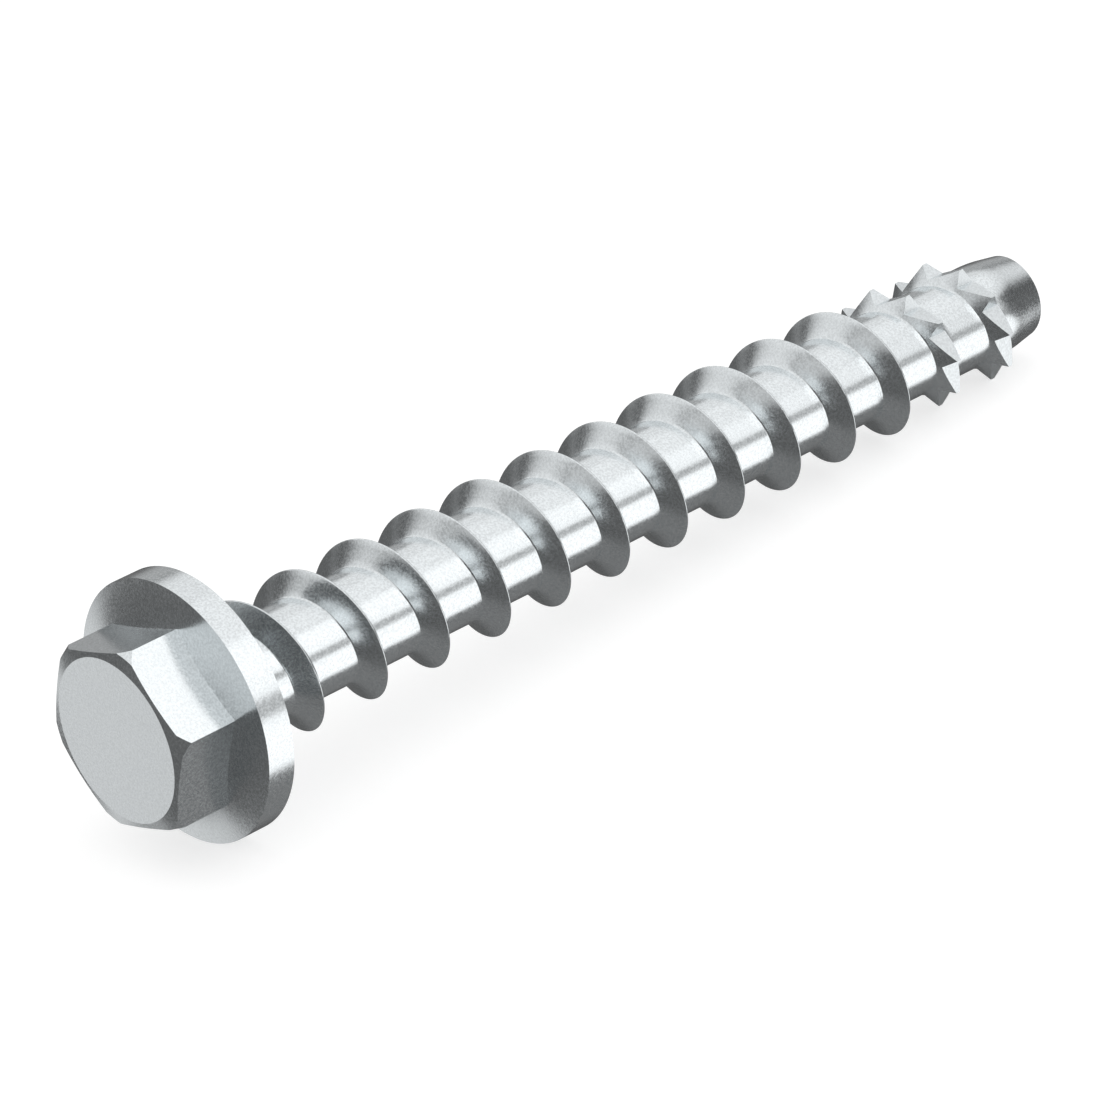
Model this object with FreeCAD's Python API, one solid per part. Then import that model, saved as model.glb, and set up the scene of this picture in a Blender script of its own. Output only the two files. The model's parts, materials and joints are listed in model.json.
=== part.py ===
"""A hexagon flange-head concrete screw, lying at rest on its flange and on its last two saw teeth.

Lengths are in millimetres and angles in degrees. The screw is drawn upright, with its bearing face at z = 0,
its tip up and its head below, and is laid down at the end.
"""
import FreeCAD, Part
import math
import os

from FreeCAD import Placement, Rotation, Vector

# Shank and tip
SHANK_LENGTH = 93.95         # bearing face to the end of the tip
CORE_DIAMETER = 8.6          # shank between the thread flights
NECK_BEVEL = 0.5             # where the shank meets the bearing face
TIP_CONE_LENGTH = 3.1
TIP_CONE_ANGLE = 8.8         # half angle of the tip cone
TIP_BEVEL = 0.15             # broken edge round the end

# Thread, right-handed
THREAD_DIAMETER = 12.5
THREAD_PITCH = 6.71
THREAD_ANGLE = 62.0          # between the two flanks
CREST_WIDTH = 0.12
THREAD_START = 2.46          # height of the crest where the thread begins
PLAIN_TURNS = 11
RUN_OUT = 60.0               # turn over which the crest rises from the shank, or sinks into it

# Saw teeth, cut into the last turns of the thread
TOOTHED_TURNS = 2
TEETH_PER_TURN = 10
TOOTH_DIAMETER = 11.98       # across the tooth tips
NOTCH_DIAMETER = 9.44        # across the notch bottoms
NOTCH_LEAD = 7.5             # turn from a tooth tip down its steep side to the notch bottom

# Head
FLANGE_DIAMETER = 22.46
FLANGE_RIM = 2.58            # height of the flange's upright rim
FLANGE_SLOPE = 12.0          # fall of the flange's top from the hexagon to the rim
HEX_ACROSS_FLATS = 14.78
HEAD_HEIGHT = 8.54           # bearing face to the top of the hexagon
HEX_TOP_DIAMETER = 14.0      # flat circle inside the chamfers
HEX_CHAMFER = 14.0           # slope of the shallow chamfer round the circle
HEX_CORNER_DIAMETER = 16.12  # where the steep chamfer of the six corners begins
HEX_CORNER_CHAMFER = 59.0    # slope of the steep chamfer

# Extra depth and reach of shapes that are fused or cut
OVERLAP = 0.4

CURVE_STEP = 28.0            # turn between two points of a thread curve

AXIS = Vector(0, 0, 1)       # of the upright screw, from head to tip


def tangent(angle):
    return math.tan(math.radians(angle))


def polar(radius, azimuth, height):
    """A point at a radius, an azimuth in degrees and a height."""
    turn = math.radians(azimuth)
    return Vector(radius * math.cos(turn), radius * math.sin(turn), height)


def last_tooth():
    """Turn from the start of the thread to the last tooth tip, where the crest begins to sink."""
    return 360.0 * (PLAIN_TURNS + TOOTHED_TURNS)


def crest_height(turned):
    """Height of the middle of the crest after the thread has turned by an angle."""
    return THREAD_START + THREAD_PITCH * turned / 360.0


def crest_radius(turned):
    """Radius of the crest, which rises from inside the shank and sinks back into it at the far end."""
    full = THREAD_DIAMETER / 2
    buried = CORE_DIAMETER / 2 - OVERLAP / 2
    risen = min(1.0, turned / RUN_OUT, (last_tooth() + RUN_OUT - turned) / RUN_OUT)
    return buried + (full - buried) * risen


def half_width(depth):
    """Half the ridge's width at a depth below its crest."""
    return CREST_WIDTH / 2 + depth * tangent(THREAD_ANGLE / 2)


def ridge_curve(start, end, radius_at, offset_at):
    """A smooth curve along the thread, at a radius and at an offset from the middle of the crest."""
    steps = max(3, math.ceil((end - start) / CURVE_STEP))
    turns = [start + (end - start) * step / steps for step in range(steps + 1)]
    points = [polar(radius_at(turn), turn, crest_height(turn) + offset_at(turn)) for turn in turns]
    curve = Part.BSplineCurve()
    curve.interpolate(Points=points, Parameters=turns)
    return curve.toShape()


def ridge_sides(start, end):
    """The four sides of a stretch of the ridge, two flanks, the crest and the buried foot, and their edges."""
    foot_radius = CORE_DIAMETER / 2 - OVERLAP

    def foot(turn):
        return foot_radius

    def foot_offset(turn):
        return half_width(crest_radius(turn) - foot_radius)

    edges = [
        ridge_curve(start, end, foot, lambda turn: -foot_offset(turn)),
        ridge_curve(start, end, crest_radius, lambda turn: -half_width(0)),
        ridge_curve(start, end, crest_radius, lambda turn: half_width(0)),
        ridge_curve(start, end, foot, foot_offset),
    ]
    sides = [Part.makeRuledSurface(edges[i], edges[(i + 1) % 4]) for i in range(4)]
    return sides, edges


def end_cap(edges, at_start):
    """The flat end of the ridge, across the ends of its four edges."""
    corners = [edge.Curve.value(edge.FirstParameter if at_start else edge.LastParameter) for edge in edges]
    return Part.Face(Part.makePolygon(corners + [corners[0]]))


def thread_ridge():
    """The whole ridge: a rise from the shank, turn after turn, and the run-out."""
    full_turns = [360.0 * turn for turn in range(1, PLAIN_TURNS + TOOTHED_TURNS + 1)]
    joints = [0.0, RUN_OUT] + full_turns + [last_tooth() + RUN_OUT]
    stretches = [ridge_sides(joints[i], joints[i + 1]) for i in range(len(joints) - 1)]
    faces = [side for sides, edges in stretches for side in sides]
    faces.append(end_cap(stretches[0][1], True))
    faces.append(end_cap(stretches[-1][1], False))
    shell = Part.Shell(faces)
    shell.sewShape()
    ridge = Part.Solid(shell)
    if ridge.Volume < 0:
        ridge.reverse()
    return ridge


def saw_notch(turned):
    """The wedge that cuts one notch: down the steep side of the tooth at this angle, up the ramp of the next."""
    reach = half_width((THREAD_DIAMETER - CORE_DIAMETER) / 2)
    low = crest_height(turned) - reach
    bottom = polar(NOTCH_DIAMETER / 2, turned + NOTCH_LEAD, low)
    corners = [bottom]
    for tip_azimuth in (turned, turned + 360.0 / TEETH_PER_TURN):
        side = polar(TOOTH_DIAMETER / 2, tip_azimuth, low) - bottom
        corners.append(bottom + side.normalize() * THREAD_DIAMETER / 2)
    outline = Part.Face(Part.makePolygon(corners + [bottom]))
    return outline.extrude(AXIS * (2 * reach + THREAD_PITCH / TEETH_PER_TURN))


def toothed_ridge():
    """The ridge with its notches: one before each tooth tip of the toothed turns, and one after the last."""
    first = 360.0 * PLAIN_TURNS
    spacing = 360.0 / TEETH_PER_TURN
    notches = [saw_notch(first + spacing * tooth) for tooth in range(TEETH_PER_TURN * TOOTHED_TURNS + 1)]
    return thread_ridge().cut(notches)


def turned_body(corners):
    """The body that a closed outline sweeps round the axis."""
    profile = Part.Face(Part.makePolygon(corners + [corners[0]]))
    return profile.revolve(Vector(), AXIS, 360)


def shank_and_flange():
    """One turned body: the flange, the neck, the shank and its blunt cone."""
    core = CORE_DIAMETER / 2
    rim = FLANGE_DIAMETER / 2
    inside_hex = HEX_ACROSS_FLATS / 2 - OVERLAP
    flange_top = -FLANGE_RIM - (rim - inside_hex) * tangent(FLANGE_SLOPE)
    cone_start = SHANK_LENGTH - TIP_CONE_LENGTH
    tip = core - TIP_CONE_LENGTH * tangent(TIP_CONE_ANGLE)
    tip_at_bevel = tip + TIP_BEVEL * tangent(TIP_CONE_ANGLE)
    return turned_body([
        Vector(0, 0, flange_top),
        Vector(inside_hex, 0, flange_top),
        Vector(rim, 0, -FLANGE_RIM),
        Vector(rim, 0, 0),
        Vector(core + NECK_BEVEL, 0, 0),
        Vector(core, 0, NECK_BEVEL),
        Vector(core, 0, cone_start),
        Vector(tip_at_bevel, 0, SHANK_LENGTH - TIP_BEVEL),
        Vector(tip - TIP_BEVEL, 0, SHANK_LENGTH),
        Vector(0, 0, SHANK_LENGTH),
    ])


def hexagon():
    """The hexagon, from inside the flange to its top, where two chamfers are turned on it."""
    corner_radius = HEX_ACROSS_FLATS / math.sqrt(3)
    corners = [polar(corner_radius, 60.0 * side, -HEAD_HEIGHT) for side in range(7)]
    prism = Part.Face(Part.makePolygon(corners)).extrude(AXIS * (HEAD_HEIGHT - FLANGE_RIM / 2))
    top = HEX_TOP_DIAMETER / 2
    steep_from = HEX_CORNER_DIAMETER / 2
    reach = corner_radius + OVERLAP
    steep_height = (steep_from - top) * tangent(HEX_CHAMFER) - HEAD_HEIGHT
    chamfered = turned_body([
        Vector(0, 0, -HEAD_HEIGHT),
        Vector(top, 0, -HEAD_HEIGHT),
        Vector(steep_from, 0, steep_height),
        Vector(reach, 0, steep_height + (reach - steep_from) * tangent(HEX_CORNER_CHAMFER)),
        Vector(reach, 0, 0),
        Vector(0, 0, 0),
    ])
    return prism.common(chamfered)


def upright_screw():
    blank = shank_and_flange().fuse(hexagon()).removeSplitter()
    return blank.fuse(toothed_ridge())


def resting_direction():
    """The direction, in the upright screw, that points straight down when it lies at rest.

    The floor touches the flange's lower rim and the far ends of the last two tooth tips. Each pass takes the
    plane through both tips and the rim's present lowest point, and moves that point to where the plane dips.
    """
    spacing = 360.0 / TEETH_PER_TURN
    last = last_tooth()
    tip_offset = half_width((THREAD_DIAMETER - TOOTH_DIAMETER) / 2)
    tips = [polar(TOOTH_DIAMETER / 2, turn, crest_height(turn) + tip_offset) for turn in (last - spacing, last)]
    azimuth = last - spacing / 2
    for _ in range(20):
        rim_point = polar(FLANGE_DIAMETER / 2, azimuth, 0.0)
        down = (tips[0] - rim_point).cross(tips[1] - rim_point).normalize()
        if down.dot(rim_point) < 0:
            down = down * -1
        azimuth = math.degrees(math.atan2(down.y, down.x))
    return down


def lay_down(screw):
    """Turn the screw onto its resting points, tip towards +X, and set it on z = 0 about the origin."""
    turn_down = Rotation(resting_direction(), Vector(0, 0, -1))
    heading = turn_down.multVec(AXIS)
    turn_along = Rotation(AXIS, -math.degrees(math.atan2(heading.y, heading.x)))
    screw = screw.copy()
    screw.Placement = Placement(Vector(), turn_along.multiply(turn_down))
    box = screw.optimalBoundingBox(False)
    screw.translate(Vector(-(box.XMin + box.XMax) / 2, -(box.YMin + box.YMax) / 2, -box.ZMin))
    return screw


def main():
    os.makedirs("parts", exist_ok=True)
    screw = lay_down(upright_screw())
    screw.exportStep("parts/concrete_screw.step")


main()
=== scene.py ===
"""Models and finishes a zinc-plated concrete screw on a white studio floor.

The screw is modelled upright in millimetres, with its bearing face at z = 0, its tip up and its head below.
At the end it is laid down in metres where the frame holds it.
"""
import json
import math

import bpy
from bpy.props import FloatProperty, FloatVectorProperty, IntProperty, PointerProperty
from mathutils import Matrix, Vector

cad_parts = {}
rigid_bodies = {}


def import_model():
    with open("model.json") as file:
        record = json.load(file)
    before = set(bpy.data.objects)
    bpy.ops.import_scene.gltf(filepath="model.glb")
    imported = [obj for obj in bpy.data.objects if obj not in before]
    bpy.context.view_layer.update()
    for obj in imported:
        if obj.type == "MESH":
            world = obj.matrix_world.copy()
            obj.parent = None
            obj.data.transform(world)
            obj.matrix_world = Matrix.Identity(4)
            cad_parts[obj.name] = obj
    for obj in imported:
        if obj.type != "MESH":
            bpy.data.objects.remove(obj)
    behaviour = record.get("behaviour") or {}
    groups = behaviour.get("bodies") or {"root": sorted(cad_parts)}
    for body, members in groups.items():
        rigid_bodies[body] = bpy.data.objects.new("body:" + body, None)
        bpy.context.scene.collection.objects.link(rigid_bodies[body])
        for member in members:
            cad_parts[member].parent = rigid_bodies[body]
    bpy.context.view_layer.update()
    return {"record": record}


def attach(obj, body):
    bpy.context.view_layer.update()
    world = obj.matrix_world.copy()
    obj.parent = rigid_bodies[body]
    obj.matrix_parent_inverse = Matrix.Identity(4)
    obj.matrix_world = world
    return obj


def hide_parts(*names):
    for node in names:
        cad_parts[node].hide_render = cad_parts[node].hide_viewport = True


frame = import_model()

bl_info = {
    "name": "Concrete Screw",
    "version": (1, 0, 0),
    "blender": (4, 5, 0),
    "location": "View3D > Sidebar > Screw",
    "description": "Models a flange-head concrete screw with a coarse thread and saw teeth",
    "category": "Object",
}

NODE = "concrete_screw"
MILLIMETRE = 0.001

# Turns swept before the thread starts and in all, so that the sweep covers the whole shank
TURNS_BEFORE = 1
TURNS_IN_ALL = 15

# Points nearer than this are one, in millimetres
MERGE_DISTANCE = 0.001

# Depth by which a shape reaches into what it joins, in millimetres
OVERLAP = 0.4

# Steps of a rounding in the thread's profile, of a flank and of half the core beside it
ARC_STEPS = 6
FLANK_STEPS = 4
CORE_STEPS = 4

# Steps of the thread's sweep in one turn, and edges round the body that cuts the chamfers
SWEEP_STEPS = 120
CHAMFER_EDGES = 240

# Rings that a bend of the turned shapes is given
RING_STEPS = 4

# Edges sharper than this are creases, and edges sharper than the second are rounded
CREASE_ANGLE = math.radians(12)
ROUNDED_ANGLE = math.radians(30)

# A direction whose share along another is above this counts as pointing that way
ALIGNED = 0.95

# The cove's flat radius, the radius of its bend and the height of its wall in metres, and its edges and steps
COVE_FLAT = 1.2
COVE_BEND = 0.3
COVE_WALL = 0.6
COVE_EDGES = 96
COVE_STEPS = 6


def length(name, description, default):
    """A size in metres that a user can change."""
    return FloatProperty(name=name, description=description, default=default, min=0.0, unit="LENGTH",
                         precision=5)


def angle(name, description, degrees):
    """An angle that a user can change."""
    return FloatProperty(name=name, description=description, default=math.radians(degrees), unit="ROTATION")


class ScrewSizes(bpy.types.PropertyGroup):
    """Sizes of the screw, as in its construction."""

    shank_length: length("Shank Length", "From the bearing face to the end of the tip", 0.09395)
    core_diameter: length("Core", "Diameter of the shank between the flights", 0.0086)
    neck_bevel: length("Neck Bevel", "Where the shank meets the bearing face", 0.0005)
    tip_cone_length: length("Tip Cone", "Length of the tapered end", 0.0031)
    tip_cone_angle: angle("Tip Cone Angle", "Half angle of the tapered end", 8.8)
    tip_bevel: length("Tip Bevel", "Broken edge round the end", 0.00015)
    tip_blend: length("Tip Blend", "Reach of the soft bend on either side of where the taper starts", 0.001)
    tip_shading: length("Tip Shading", "Stretch before the taper over which its shading comes in", 0.0026)
    thread_diameter: length("Thread", "Diameter across the crest", 0.0125)
    thread_pitch: length("Pitch", "Advance of the thread in one turn", 0.00671)
    thread_angle: angle("Thread Angle", "Angle between the two flanks", 62.0)
    crest_width: length("Crest Width", "Width of the crest between the flanks", 0.00012)
    root_radius: length("Root Radius", "Hollow where a flank meets the core", 0.00022)
    thread_start: length("Thread Start", "Height of the crest where the thread begins", 0.00246)
    run_out: angle("Run-out", "Turn over which the crest rises or sinks", 60.0)
    plain_turns: IntProperty(name="Plain Turns", description="Turns of thread before the teeth", default=11)
    toothed_turns: IntProperty(name="Toothed Turns", description="Turns with saw teeth", default=2)
    teeth_per_turn: IntProperty(name="Teeth per Turn", description="Saw teeth in one turn", default=10)
    tooth_diameter: length("Teeth", "Diameter across the tooth tips", 0.01198)
    notch_diameter: length("Notches", "Diameter across the notch bottoms", 0.00944)
    notch_lead: angle("Notch Lead", "Turn from a tooth tip to the notch bottom", 7.5)
    flange_diameter: length("Flange", "Diameter of the flange", 0.02246)
    flange_rim: length("Flange Rim", "Height of the flange's upright rim", 0.00258)
    flange_slope: angle("Flange Slope", "Fall of the flange's top to the rim", 12.0)
    flange_hollow: length("Flange Hollow", "Depth to which the flange's top is dished", 0.00007)
    hex_across_flats: length("Hexagon", "Across the flats", 0.01478)
    head_height: length("Head Height", "Bearing face to the top of the hexagon", 0.00854)
    hex_top_diameter: length("Hexagon Top", "Flat circle inside the chamfers", 0.014)
    hex_chamfer: angle("Chamfer", "Slope of the shallow chamfer round the circle", 14.0)
    hex_corner_diameter: length("Corner Chamfer Start", "Where the corners' steep chamfer begins", 0.01612)
    hex_corner_chamfer: angle("Corner Chamfer", "Slope of the steep chamfer", 59.0)
    edge_radius: length("Edge Radius", "Rounding of the sharp edges", 0.00008)


class ZincFinish(bpy.types.PropertyGroup):
    """Colours and texture of the zinc plating."""

    zinc: FloatVectorProperty(name="Zinc", description="Reflected colour of the plating", subtype="COLOR",
                              default=(0.755, 0.79, 0.805), min=0.0, max=1.0)
    roughness: FloatProperty(name="Roughness", description="Mean roughness of the plating", default=0.19)
    cut_roughness: FloatProperty(name="Cut Roughness", description="Mean roughness on saw cuts", default=0.33)
    grain: length("Grain", "Size of the plating's fine grain", 0.0002)
    relief: length("Relief", "Height of the grain", 0.000002)
    cut_relief: length("Cut Relief", "Height of the grain on the saw cuts", 0.000005)


class StudioSettings(bpy.types.PropertyGroup):
    """The camera and the white floor."""

    aim: FloatVectorProperty(name="Aim", description="Point in the middle of the view", subtype="TRANSLATION",
                             default=(-0.00187, 0.00419, 0.00411))
    distance: length("Distance", "From the camera to the aim", 0.4609)
    heading: angle("Heading", "Direction in which the camera looks", 51.412)
    elevation: angle("Elevation", "Height of the camera above the horizon", 26.317)
    roll: angle("Roll", "Lean of the camera", -10.819)
    lens: FloatProperty(name="Lens", description="Focal length", default=180.29, subtype="DISTANCE_CAMERA")
    floor_reflectance: FloatProperty(name="Floor Reflectance", description="Lights the floor to white",
                                     default=1.6)
    shadow_depth: FloatProperty(name="Shadow Depth", description="Share of the shadow that shows",
                                default=0.3)
    floor_in_metal: FloatProperty(name="Floor in Metal", description="How strongly metal shows the floor",
                                  default=0.10)


def sizes():
    """The screw's sizes, lengths in millimetres and angles in radians."""
    group = bpy.context.scene.screw_sizes
    values = {}
    for name, value in group.bl_rna.properties.items():
        if name in ("rna_type", "name"):
            continue
        in_metres = getattr(value, "unit", "NONE") == "LENGTH"
        values[name] = getattr(group, name) / MILLIMETRE if in_metres else getattr(group, name)
    return values


class Thread:
    """The thread's form: how high its crest is, and how far it stands out, after a turn in degrees."""

    def __init__(self):
        size = sizes()
        self.pitch = size["thread_pitch"]
        self.start = size["thread_start"]
        self.core = size["core_diameter"] / 2
        self.crest = size["thread_diameter"] / 2
        self.crest_width = size["crest_width"]
        self.root_radius = size["root_radius"]
        self.flank = size["thread_angle"] / 2
        self.run_out = math.degrees(size["run_out"])
        self.last_tooth = 360 * (size["plain_turns"] + size["toothed_turns"])

    def height(self, turned):
        return self.start + self.pitch * turned / 360

    def risen(self, turned):
        """Share of the full height that the ridge has: it rises from inside the shank and sinks back."""
        buried = self.core - OVERLAP / 2
        share = min(1.0, turned / self.run_out, (self.last_tooth + self.run_out - turned) / self.run_out)
        radius = buried + (self.crest - buried) * share
        return max(0.0, (radius - self.core) / (self.crest - self.core))

    def half_width(self, depth):
        return self.crest_width / 2 + depth * math.tan(self.flank)

    def turned_at(self, point):
        """Turn at which the groove or ridge passes a point."""
        azimuth = math.degrees(math.atan2(point.y, point.x))
        return azimuth + 360 * round((point.z - self.height(azimuth)) / self.pitch)


def arc(centre, radius, start, end, steps):
    """Points on an arc in the plane of radius and height, angles in radians."""
    turns = [start + (end - start) * step / steps for step in range(steps + 1)]
    return [
        Vector((centre.x + radius * math.cos(turn), 0, centre.z + radius * math.sin(turn)))
        for turn in turns
    ]


def groove_profile(thread):
    """Half a groove, half the ridge and back again, over one pitch, from below the crest to above it."""
    lean = math.pi / 2 - thread.flank
    foot = thread.half_width(thread.crest - thread.core)
    root = thread.root_radius
    tangent = root * math.tan(lean / 2)
    root_centre = Vector((thread.core + root, 0, foot + tangent))
    hollow = arc(root_centre, root, math.pi, math.pi + lean, ARC_STEPS)
    apex = thread.crest + thread.crest_width / 2 / math.tan(thread.flank)
    tip_radius = (apex - thread.crest) / (1 / math.sin(thread.flank) - 1)
    tip_centre = Vector((thread.crest - tip_radius, 0, 0))
    rounding = arc(tip_centre, tip_radius, lean, 0, ARC_STEPS)
    flank = [hollow[-1].lerp(rounding[0], step / FLANK_STEPS) for step in range(1, FLANK_STEPS)]
    edge = Vector((thread.core, 0, thread.pitch / 2))
    core = [edge.lerp(hollow[0], step / CORE_STEPS) for step in range(CORE_STEPS)]
    upper = core + hollow + flank + rounding
    lower = [Vector((point.x, 0, -point.z)) for point in upper[:-1]]
    return lower + upper[::-1]


def deselect():
    if bpy.context.mode != "OBJECT":
        bpy.ops.object.mode_set(mode="OBJECT")
    bpy.ops.object.select_all(action="DESELECT")


def activate(piece):
    deselect()
    piece.select_set(True)
    bpy.context.view_layer.objects.active = piece


def select_where(piece, test):
    """In edit mode, select the faces that pass a test."""
    bpy.ops.object.mode_set(mode="EDIT")
    bpy.ops.mesh.select_mode(type="FACE")
    bpy.ops.mesh.select_all(action="DESELECT")
    bpy.ops.object.mode_set(mode="OBJECT")
    for polygon in piece.data.polygons:
        polygon.select = test(polygon)
    bpy.ops.object.mode_set(mode="EDIT")


def apply_modifier(piece, kind, **settings):
    activate(piece)
    bpy.ops.object.modifier_add(type=kind)
    modifier = piece.modifiers[-1]
    for name, value in settings.items():
        setattr(modifier, name, value)
    bpy.ops.object.modifier_apply(modifier=modifier.name)


def face_outward(piece):
    """Merge what coincides and turn all faces outward."""
    activate(piece)
    bpy.ops.object.mode_set(mode="EDIT")
    bpy.ops.mesh.select_all(action="SELECT")
    bpy.ops.mesh.remove_doubles(threshold=MERGE_DISTANCE)
    bpy.ops.mesh.normals_make_consistent(inside=False)
    bpy.ops.object.mode_set(mode="OBJECT")


def draw_profile(points):
    """A new object that holds one open line, drawn point after point by extrusion."""
    bpy.ops.mesh.primitive_plane_add(size=0.01, location=points[0])
    profile = bpy.context.object
    bpy.ops.object.transform_apply()
    bpy.ops.object.mode_set(mode="EDIT")
    bpy.ops.mesh.select_mode(type="VERT")
    bpy.ops.mesh.select_all(action="SELECT")
    bpy.ops.mesh.merge(type="CENTER")
    for start, end in zip(points, points[1:]):
        bpy.ops.mesh.extrude_region_move(TRANSFORM_OT_translate={"value": end - start})
    bpy.ops.object.mode_set(mode="OBJECT")
    return profile


def sweep_thread(thread):
    """The whole length of shank and ridge, from one profile that turns and climbs.

    It starts half a step aside, so that its edges miss the tooth tips and the hexagon's corners.
    """
    deselect()
    profile = draw_profile(groove_profile(thread))
    first = -360 * TURNS_BEFORE - 180 / SWEEP_STEPS
    turn = Matrix.Rotation(math.radians(first), 4, "Z")
    profile.data.transform(Matrix.Translation((0, 0, thread.height(first))) @ turn)
    apply_modifier(profile, "SCREW", angle=2 * math.pi, screw_offset=thread.pitch, iterations=TURNS_IN_ALL,
                   steps=SWEEP_STEPS, render_steps=SWEEP_STEPS)
    return profile


def sink_ends(piece, thread):
    """Lower the ridge at both ends until it is lost in the core."""
    foot = thread.half_width(thread.crest - thread.core) + thread.root_radius
    for vertex in piece.data.vertices:
        turned = thread.turned_at(vertex.co)
        offset = vertex.co.z - thread.height(turned)
        if abs(offset) > foot:
            continue
        share = thread.risen(turned)
        radius = vertex.co.xy.length
        spread = (thread.core + (radius - thread.core) * share) / radius
        vertex.co.x *= spread
        vertex.co.y *= spread
        vertex.co.z = thread.height(turned) + offset * share


def cut_square(piece, height, keep_above):
    """Cut the sweep square across and close it."""
    activate(piece)
    bpy.ops.object.mode_set(mode="EDIT")
    bpy.ops.mesh.select_mode(type="VERT")
    bpy.ops.mesh.select_all(action="SELECT")
    bpy.ops.mesh.bisect(plane_co=(0, 0, height), plane_no=(0, 0, 1), use_fill=True, clear_inner=keep_above,
                        clear_outer=not keep_above, threshold=0.00001)
    bpy.ops.object.mode_set(mode="OBJECT")


def extrude_round(piece, start, stages):
    """Draw the round end face at a start (radius, height) out through stages of (radius, height)."""
    radius, height = start

    def is_end(face):
        return abs(face.center.z - start[1]) < MERGE_DISTANCE and abs(face.normal.z) > ALIGNED

    select_where(piece, is_end)
    for next_radius, next_height in stages:
        bpy.ops.mesh.extrude_region_move(TRANSFORM_OT_translate={"value": (0, 0, next_height - height)})
        scale = next_radius / radius
        bpy.ops.transform.resize(value=(scale, scale, 1), center_override=(0, 0, next_height))
        radius, height = next_radius, next_height
    bpy.ops.object.mode_set(mode="OBJECT")


def tip_stages(size, core, cone_start):
    """The blunt end before its taper, with rings where the taper bends."""
    end = size["shank_length"]
    bevel = size["tip_bevel"]
    rings = [(core, cone_start + size["tip_blend"] * step / RING_STEPS) for step in range(1, RING_STEPS + 1)]
    return rings + [(core, end - bevel), (core - bevel, end)]


def taper_tip(piece, size):
    """Draw the end in to its cone, with a soft bend where the taper starts."""
    fall = math.tan(size["tip_cone_angle"])
    blend = size["tip_blend"]
    cone_start = size["shank_length"] - size["tip_cone_length"]
    for vertex in piece.data.vertices:
        beyond = vertex.co.z - cone_start
        if beyond < -blend:
            continue
        shift = fall * beyond if beyond > blend else fall * (beyond + blend) ** 2 / (4 * blend)
        radius = vertex.co.xy.length
        vertex.co.x *= (radius - shift) / radius
        vertex.co.y *= (radius - shift) / radius


def flange_stages(size):
    """The flange's outline, from the bearing face round the rim to the dished top inside the hexagon."""
    rim = size["flange_diameter"] / 2
    inside = size["hex_across_flats"] / 2 - OVERLAP
    stages = [(rim, 0), (rim, -size["flange_rim"])]
    for step in range(1, RING_STEPS * 2 + 1):
        share = step / (RING_STEPS * 2)
        rise = (rim - inside) * share * math.tan(size["flange_slope"])
        dish = 4 * size["flange_hollow"] * share * (1 - share)
        stages.append((rim + (inside - rim) * share, dish - rise - size["flange_rim"]))
    return stages


class SCREW_OT_threaded_shank(bpy.types.Operator):
    """Sweep the thread and draw out the flange at one end and the blunt cone at the other"""

    bl_idname = "screw.threaded_shank"
    bl_label = "Threaded Shank"

    def execute(self, context):
        size = sizes()
        thread = Thread()
        shank = sweep_thread(thread)
        sink_ends(shank, thread)
        face_outward(shank)
        core = thread.core
        neck = size["neck_bevel"]
        cone_start = size["shank_length"] - size["tip_cone_length"]
        cut_square(shank, neck, True)
        cut_square(shank, cone_start, False)
        extrude_round(shank, (core, neck), [(core + neck, 0)] + flange_stages(size))
        extrude_round(shank, (core, cone_start), tip_stages(size, core, cone_start))
        taper_tip(shank, size)
        shank.name = "screw_body"
        return {"FINISHED"}


def chamfer_limit(size, reach):
    """A round body with the two chamfers, which cuts the hexagon's top to shape."""
    bottom = -size["head_height"]
    top = size["hex_top_diameter"] / 2
    steep_from = size["hex_corner_diameter"] / 2
    steep_height = bottom + (steep_from - top) * math.tan(size["hex_chamfer"])
    wall_height = steep_height + (reach - steep_from) * math.tan(size["hex_corner_chamfer"])
    bpy.ops.mesh.primitive_circle_add(vertices=CHAMFER_EDGES, radius=top, fill_type="NGON",
                                      location=(0, 0, bottom))
    limit = bpy.context.object
    bpy.ops.object.transform_apply()
    extrude_round(limit, (top, bottom), [(steep_from, steep_height), (reach, wall_height), (reach, 0)])
    face_outward(limit)
    return limit


class SCREW_OT_hexagon(bpy.types.Operator):
    """Add the chamfered hexagon to the flange"""

    bl_idname = "screw.hexagon"
    bl_label = "Hexagon"

    def execute(self, context):
        size = sizes()
        body = bpy.data.objects["screw_body"]
        deselect()
        corner = size["hex_across_flats"] / math.sqrt(3)
        low = -size["head_height"]
        high = -size["flange_rim"] / 2
        bpy.ops.mesh.primitive_cylinder_add(vertices=6, radius=corner, depth=high - low,
                                            location=(0, 0, (low + high) / 2),
                                            rotation=(0, 0, math.radians(30)))
        hexagon = bpy.context.object
        bpy.ops.object.transform_apply()
        cone = chamfer_limit(size, corner + OVERLAP)
        apply_modifier(hexagon, "BOOLEAN", operation="INTERSECT", solver="EXACT", object=cone)
        apply_modifier(body, "BOOLEAN", operation="UNION", solver="EXACT", object=hexagon)
        for used in (cone, hexagon):
            bpy.data.objects.remove(used)
        return {"FINISHED"}


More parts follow.
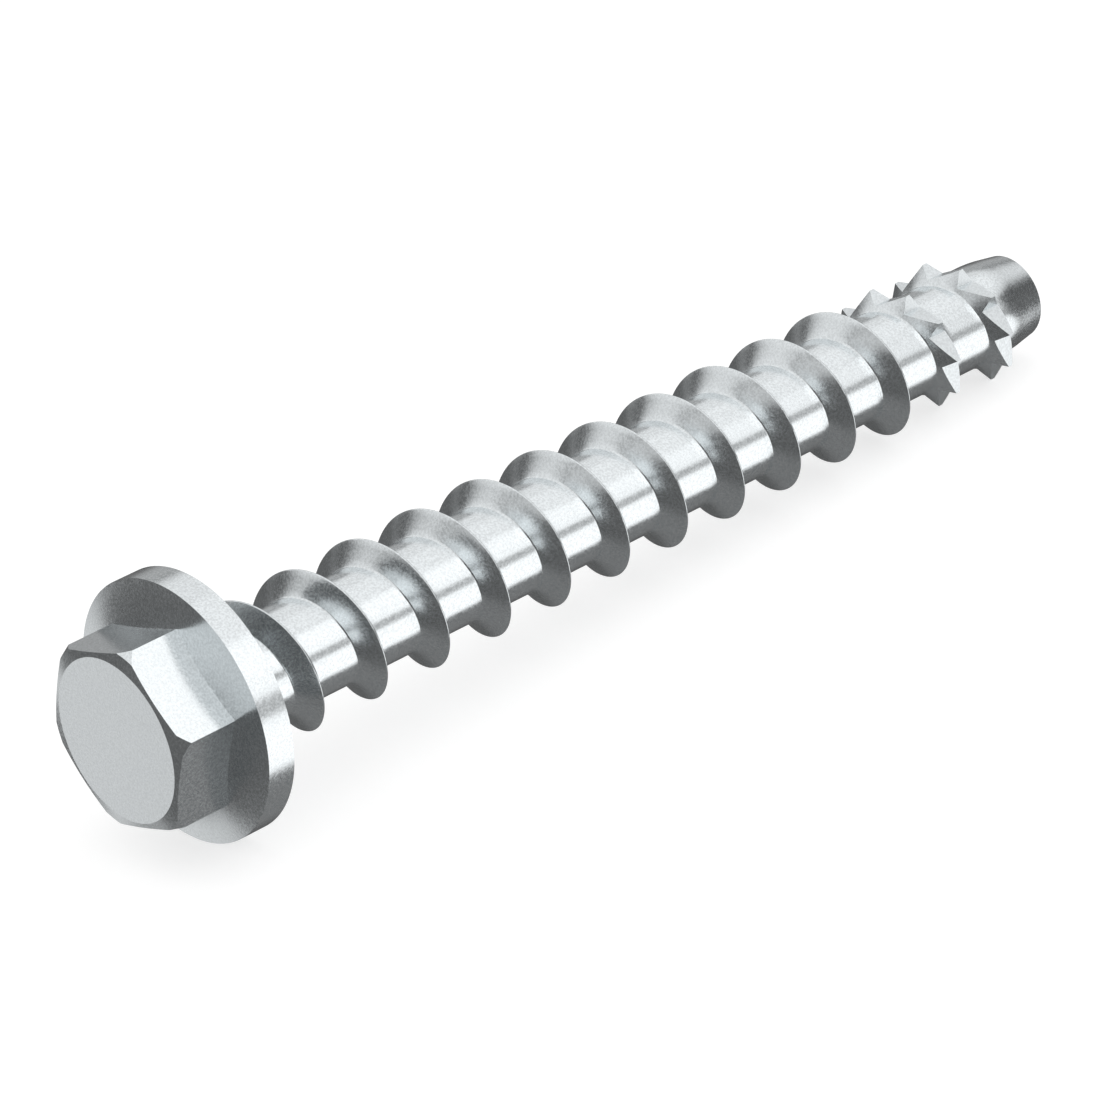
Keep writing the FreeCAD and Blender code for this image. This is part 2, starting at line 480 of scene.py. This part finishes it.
class SCREW_OT_saw_teeth(bpy.types.Operator):
    """Cut the saw notches into the last turns of the thread"""

    bl_idname = "screw.saw_teeth"
    bl_label = "Saw Teeth"

    def execute(self, context):
        size = sizes()
        thread = Thread()
        body = bpy.data.objects["screw_body"]
        spacing = 360 / size["teeth_per_turn"]
        first = notch_cutter(thread, size, spacing)
        for material in (zinc_plating("zinc_plating"), zinc_plating("zinc_on_saw_cuts", on_cuts=True)):
            body.data.materials.append(material)
            first.data.materials.append(material)
        for polygon in first.data.polygons:
            polygon.material_index = 1
        cutters = bpy.data.collections.new("notch_cutters")
        context.scene.collection.children.link(cutters)
        for tooth in range(size["teeth_per_turn"] * size["toothed_turns"] + 1):
            cutters.objects.link(climbed_copy(first, thread, 360 * size["plain_turns"] + spacing * tooth))
        apply_modifier(body, "BOOLEAN", operation="DIFFERENCE", solver="EXACT", operand_type="COLLECTION",
                       collection=cutters)
        for cutter in [first, *cutters.objects]:
            bpy.data.objects.remove(cutter)
        bpy.data.collections.remove(cutters)
        return {"FINISHED"}


def climbed_copy(piece, thread, turned):
    """A copy of a piece that has turned and climbed along the thread."""
    copy = piece.copy()
    copy.data = piece.data.copy()
    turn = Matrix.Rotation(math.radians(turned), 4, "Z")
    copy.data.transform(Matrix.Translation((0, 0, thread.pitch * turned / 360)) @ turn)
    return copy


def notch_cutter(thread, size, spacing):
    """A wedge at the start of the thread, down the steep side of one tooth and up the ramp of the next."""
    reach = thread.half_width(thread.crest - thread.core)
    low = thread.start - reach
    tall = 2 * reach + thread.pitch * spacing / 360

    def polar(radius, azimuth):
        around = math.radians(azimuth)
        return Vector((radius * math.cos(around), radius * math.sin(around), low))

    bottom = polar(size["notch_diameter"] / 2, math.degrees(size["notch_lead"]))
    corners = [bottom]
    for tip in (0, spacing):
        side = polar(size["tooth_diameter"] / 2, tip) - bottom
        corners.append(bottom + side.normalized() * thread.crest)
    deselect()
    bpy.ops.mesh.primitive_circle_add(vertices=3, fill_type="NGON")
    cutter = bpy.context.object
    for vertex, corner in zip(cutter.data.vertices, corners):
        vertex.co = corner
    bpy.ops.object.mode_set(mode="EDIT")
    bpy.ops.mesh.select_all(action="SELECT")
    bpy.ops.mesh.extrude_region_move(TRANSFORM_OT_translate={"value": (0, 0, tall)})
    face_outward(cutter)
    return cutter


def resting_place(size):
    """The matrix that lays the upright screw on its last two teeth, its bearing face where the frame's is."""
    mount = next(m for m in frame["record"]["mounts"] if m["name"] == "bearing_face")
    axis = Vector(mount["axis"]).normalized()
    spacing = 2 * math.pi / size["teeth_per_turn"]
    rise = size["thread_pitch"] / size["teeth_per_turn"]
    chord = size["tooth_diameter"] * math.sin(spacing / 2)
    down_azimuth = -spacing / 2 + math.asin(rise * axis.z / chord)
    down = (Vector((0, 0, -1)) + axis * axis.z).normalized()
    turn = Matrix.Rotation(-down_azimuth, 3, "Z")
    basis = Matrix((down, axis.cross(down), axis)).transposed() @ turn
    place = Matrix.Translation(mount["pos_m"]) @ basis.to_4x4()
    return place @ Matrix.Scale(MILLIMETRE, 4)


class SCREW_OT_finish(bpy.types.Operator):
    """Round the edges, turn the shading at the tip towards the taper's and lay the screw down"""

    bl_idname = "screw.finish"
    bl_label = "Finish"

    def execute(self, context):
        size = sizes()
        body = bpy.data.objects["screw_body"]
        face_outward(body)
        bpy.ops.object.shade_smooth_by_angle(angle=CREASE_ANGLE)
        apply_modifier(body, "BEVEL", width=size["edge_radius"], segments=2, limit_method="ANGLE",
                       angle_limit=ROUNDED_ANGLE, harden_normals=True)
        lean_shading(body, size)
        body.data.transform(resting_place(size))
        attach(body, "root")
        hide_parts(NODE)
        return {"FINISHED"}


def lean_shading(piece, size):
    """Turn the shading of the shank's end towards the taper's, over a longer stretch than the metal bends.

    The thread, the teeth and the rounded edge at the end keep their own shading.
    """
    mesh = piece.data
    cone_start = size["shank_length"] - size["tip_cone_length"]
    cone_end = size["shank_length"] - size["tip_bevel"] * 1.5
    beside_core = size["core_diameter"] / 2 + 10 * MERGE_DISTANCE
    normals = [corner.vector.copy() for corner in mesh.corner_normals]
    for loop in mesh.loops:
        place = mesh.vertices[loop.vertex_index].co
        share = min(1.0, 1 - (cone_start - place.z) / size["tip_shading"])
        if share <= 0 or place.z > cone_end or place.xy.length > beside_core:
            continue
        outward = Vector((place.x, place.y, 0)).normalized()
        if normals[loop.index].dot(outward) < ALIGNED:
            continue
        lean = size["tip_cone_angle"] * share * share * (3 - 2 * share)
        normals[loop.index] = outward * math.cos(lean) + Vector((0, 0, math.sin(lean)))
    mesh.normals_split_custom_set(normals)


def link_math(nodes, links, operation, first, second=0.0, third=0.0):
    """A math node fed by sockets or plain numbers."""
    node = nodes.new("ShaderNodeMath")
    node.operation = operation
    for socket, value in zip(node.inputs, (first, second, third)):
        if isinstance(value, (int, float)):
            socket.default_value = value
        else:
            links.new(value, socket)
    return node.outputs[0]


# The grain's values at its darkest and its brightest flecks, and what these change in colour and roughness
FLECK_RANGE = (0.35, 0.65)
FLECK_CONTRAST = 0.09
FLECK_GLOSS = 0.03


def zinc_grain():
    """The node group of the plating's fine grain, which shows in its colour, its gloss and its surface."""
    group = bpy.data.node_groups.get("zinc_grain")
    if group:
        return group
    group = bpy.data.node_groups.new("zinc_grain", "ShaderNodeTree")
    taken = {"Place": "Vector", "Grain Size": "Float", "Zinc": "Color", "Mean Roughness": "Float"}
    for name, kind in taken.items():
        group.interface.new_socket(name, in_out="INPUT", socket_type="NodeSocket" + kind)
    for name, kind in {"Colour": "Color", "Roughness": "Float", "Height": "Float"}.items():
        group.interface.new_socket(name, in_out="OUTPUT", socket_type="NodeSocket" + kind)
    nodes = group.nodes
    links = group.links
    entry = nodes.new("NodeGroupInput")
    leave = nodes.new("NodeGroupOutput")
    grain = nodes.new("ShaderNodeTexNoise")
    grain.inputs["Detail"].default_value = 1.0
    links.new(entry.outputs["Place"], grain.inputs["Vector"])
    links.new(link_math(nodes, links, "DIVIDE", 1.0, entry.outputs["Grain Size"]), grain.inputs["Scale"])
    links.new(grain.outputs["Fac"], leave.inputs["Height"])
    flecks = nodes.new("ShaderNodeMapRange")
    links.new(grain.outputs["Fac"], flecks.inputs["Value"])
    flecks.inputs["From Min"].default_value = FLECK_RANGE[0]
    flecks.inputs["From Max"].default_value = FLECK_RANGE[1]
    flecks.inputs["To Min"].default_value = -1.0
    fleck = flecks.outputs["Result"]
    shade = nodes.new("ShaderNodeVectorMath")
    shade.operation = "SCALE"
    links.new(entry.outputs["Zinc"], shade.inputs[0])
    links.new(link_math(nodes, links, "MULTIPLY_ADD", fleck, FLECK_CONTRAST, 1.0), shade.inputs["Scale"])
    links.new(shade.outputs["Vector"], leave.inputs["Colour"])
    gloss = link_math(nodes, links, "MULTIPLY_ADD", fleck, FLECK_GLOSS, entry.outputs["Mean Roughness"])
    links.new(gloss, leave.inputs["Roughness"])
    return group


def zinc_plating(name, on_cuts=False):
    """Bright zinc with a fine grain, which is duller and coarser on the saw cuts."""
    finish = bpy.context.scene.zinc_finish
    material = bpy.data.materials.new(name)
    material.use_nodes = True
    nodes = material.node_tree.nodes
    links = material.node_tree.links
    shader = nodes["Principled BSDF"]
    shader.inputs["Metallic"].default_value = 1.0
    place = nodes.new("ShaderNodeTexCoord")
    grain = nodes.new("ShaderNodeGroup")
    grain.node_tree = zinc_grain()
    grain.inputs["Grain Size"].default_value = finish.grain
    grain.inputs["Zinc"].default_value = (*finish.zinc, 1)
    grain.inputs["Mean Roughness"].default_value = finish.cut_roughness if on_cuts else finish.roughness
    links.new(place.outputs["Object"], grain.inputs["Place"])
    links.new(grain.outputs["Colour"], shader.inputs["Base Color"])
    links.new(grain.outputs["Roughness"], shader.inputs["Roughness"])
    bump = nodes.new("ShaderNodeBump")
    bump.inputs["Distance"].default_value = finish.cut_relief if on_cuts else finish.relief
    links.new(grain.outputs["Height"], bump.inputs["Height"])
    links.new(bump.outputs["Normal"], shader.inputs["Normal"])
    return material


# The studio's light by direction: azimuth and elevation of a panel's centre, half its width and height,
# the width of its soft edge, all in degrees, how far it leans to the side as it rises, and its brightness
PANELS = {
    "overhead": (0, 90, 360, 65, 12, 0, 0.92),
    "front_top": (-14, 62, 42, 32, 20, 0, 1.03),
    "key_softbox": (-65, 25, 25, 21, 6, 0.4, 1.35),
    "between": (-66, 0, 24, 14, 10, 0, 0.46),
    "low_card": (-60, -28, 32, 20, 6, -0.8, 1.35),
    "right_fill": (56, 13, 27, 14, 18, 0, 0.38),
    "rear_fill": (-178, 14, 34, 12, 16, 0, 0.62),
    "rear_card": (116, -27, 16, 11.5, 4, 0, 0.75),
    "side_card": (103, 19, 9, 8, 17, 0, 0.40),
    "underside": (0, -90, 360, 42, 20, 0, 0.13),
}
SKY_BASE = 0.03


def soft_inside(nodes, links, distance, half, soft):
    """One inside half the width, none outside it, with a soft edge between."""
    edge = nodes.new("ShaderNodeMapRange")
    edge.interpolation_type = "SMOOTHSTEP"
    links.new(distance, edge.inputs["Value"])
    edge.inputs["From Min"].default_value = math.radians(half - soft / 2)
    edge.inputs["From Max"].default_value = math.radians(half + soft / 2)
    edge.inputs["To Min"].default_value = 1.0
    edge.inputs["To Max"].default_value = 0.0
    return edge.outputs["Result"]


def studio_world():
    """The studio round the screw: soft panels over a dark surround."""
    world = bpy.data.worlds.new("studio")
    bpy.context.scene.world = world
    world.use_nodes = True
    nodes = world.node_tree.nodes
    links = world.node_tree.links

    def maths(*values):
        return link_math(nodes, links, *values)

    place = nodes.new("ShaderNodeTexCoord")
    split = nodes.new("ShaderNodeSeparateXYZ")
    links.new(place.outputs["Generated"], split.inputs["Vector"])
    elevation = maths("ARCSINE", split.outputs["Z"])
    azimuth = maths("ARCTAN2", split.outputs["Y"], split.outputs["X"])
    light = SKY_BASE
    for centre, height, half_width, half_height, soft, lean, brightness in PANELS.values():
        above = maths("SUBTRACT", elevation, math.radians(height))
        aside = maths("MULTIPLY_ADD", above, -lean, maths("SUBTRACT", azimuth, math.radians(centre)))
        aside = maths("ABSOLUTE", maths("WRAP", aside, math.pi, -math.pi))
        across = soft_inside(nodes, links, aside, half_width, soft)
        upright = soft_inside(nodes, links, maths("ABSOLUTE", above), half_height, soft)
        panel = maths("MULTIPLY", maths("MULTIPLY", across, upright), brightness)
        light = maths("MAXIMUM", light, panel)
    links.new(light, nodes["Background"].inputs["Strength"])
    nodes["Background"].inputs["Color"].default_value = (1, 1, 1, 1)


class SCREW_OT_studio(bpy.types.Operator):
    """Set the white cove, the light and the camera"""

    bl_idname = "screw.studio"
    bl_label = "Studio"

    def execute(self, context):
        studio_world()
        white_cove()
        set_camera(context.scene.studio_settings)
        context.scene.view_settings.view_transform = "Standard"
        return {"FINISHED"}


def white_cove():
    """A round white floor that curves up into a low wall."""
    deselect()
    bpy.ops.mesh.primitive_circle_add(vertices=COVE_EDGES, radius=COVE_FLAT, fill_type="NGON")
    cove = bpy.context.object
    cove.name = "studio_cove"
    turns = [math.radians(90 * step / COVE_STEPS) for step in range(1, COVE_STEPS + 1)]
    stages = [(COVE_FLAT + COVE_BEND * math.sin(turn), COVE_BEND * (1 - math.cos(turn))) for turn in turns]
    bpy.ops.object.mode_set(mode="EDIT")
    bpy.ops.mesh.select_all(action="SELECT")
    bpy.ops.mesh.select_mode(type="EDGE")
    bpy.ops.mesh.region_to_loop()
    radius, height = COVE_FLAT, 0.0
    for next_radius, next_height in stages + [(COVE_FLAT + COVE_BEND, COVE_WALL)]:
        bpy.ops.mesh.extrude_edges_move(TRANSFORM_OT_translate={"value": (0, 0, next_height - height)})
        scale = next_radius / radius
        bpy.ops.transform.resize(value=(scale, scale, 1), center_override=(0, 0, next_height))
        radius, height = next_radius, next_height
    bpy.ops.object.mode_set(mode="OBJECT")
    bpy.ops.object.shade_smooth_by_angle(angle=ROUNDED_ANGLE)
    cove.data.materials.append(cove_material())
    return cove


def cove_material():
    """White for the camera, with a faint soft shadow, and faint in the metal beside the studio's panels."""
    studio = bpy.context.scene.studio_settings
    material = bpy.data.materials.new("white_cove")
    material.use_nodes = True
    nodes = material.node_tree.nodes
    links = material.node_tree.links
    nodes.remove(nodes["Principled BSDF"])
    diffuse = nodes.new("ShaderNodeBsdfDiffuse")
    diffuse.inputs["Color"].default_value = (studio.floor_reflectance,) * 3 + (1,)
    glow = nodes.new("ShaderNodeEmission")
    shaded = nodes.new("ShaderNodeMixShader")
    shaded.inputs["Fac"].default_value = studio.shadow_depth
    links.new(glow.outputs["Emission"], shaded.inputs[1])
    links.new(diffuse.outputs["BSDF"], shaded.inputs[2])
    path = nodes.new("ShaderNodeLightPath")

    def maths(*values):
        return link_math(nodes, links, *values)

    reflected = maths("ADD", path.outputs["Is Glossy Ray"], path.outputs["Is Transmission Ray"])
    reflected = maths("ADD", reflected, path.outputs["Is Shadow Ray"])
    seen = maths("MULTIPLY_ADD", reflected, studio.floor_in_metal, path.outputs["Is Camera Ray"])
    clear = nodes.new("ShaderNodeBsdfTransparent")
    whole = nodes.new("ShaderNodeMixShader")
    links.new(seen, whole.inputs["Fac"])
    links.new(clear.outputs["BSDF"], whole.inputs[1])
    links.new(shaded.outputs["Shader"], whole.inputs[2])
    links.new(whole.outputs["Shader"], nodes["Material Output"].inputs["Surface"])
    return material


def set_camera(studio):
    """Stand the camera where it sees the screw as in the photograph."""
    level = math.cos(studio.elevation)
    back = Vector((
        -math.cos(studio.heading) * level,
        -math.sin(studio.heading) * level,
        math.sin(studio.elevation),
    ))
    turn = back.to_track_quat("Z", "Y").to_matrix() @ Matrix.Rotation(studio.roll, 3, "Z")
    place = Vector(studio.aim) + back * studio.distance
    bpy.ops.object.camera_add(location=place, rotation=turn.to_euler())
    camera = bpy.context.object
    camera.data.lens = studio.lens
    camera.data.clip_start = 0.01
    bpy.context.scene.camera = camera


class SCREW_PT_panel(bpy.types.Panel):
    """The screw's operators in the sidebar"""

    bl_idname = "SCREW_PT_panel"
    bl_label = "Concrete Screw"
    bl_space_type = "VIEW_3D"
    bl_region_type = "UI"
    bl_category = "Screw"

    def draw(self, context):
        for operator in STEPS:
            self.layout.operator(operator.bl_idname)


GROUPS = {"screw_sizes": ScrewSizes, "zinc_finish": ZincFinish, "studio_settings": StudioSettings}
STEPS = (SCREW_OT_threaded_shank, SCREW_OT_hexagon, SCREW_OT_saw_teeth, SCREW_OT_finish, SCREW_OT_studio)


def register():
    for name, group in GROUPS.items():
        bpy.utils.register_class(group)
        setattr(bpy.types.Scene, name, PointerProperty(type=group))
    for operator in STEPS:
        bpy.utils.register_class(operator)
    bpy.utils.register_class(SCREW_PT_panel)


def unregister():
    bpy.utils.unregister_class(SCREW_PT_panel)
    for operator in reversed(STEPS):
        bpy.utils.unregister_class(operator)
    for name, group in GROUPS.items():
        delattr(bpy.types.Scene, name)
        bpy.utils.unregister_class(group)


def main():
    register()
    bpy.ops.screw.threaded_shank()
    bpy.ops.screw.hexagon()
    bpy.ops.screw.saw_teeth()
    bpy.ops.screw.finish()
    bpy.ops.screw.studio()


if __name__ == "__main__":
    main()
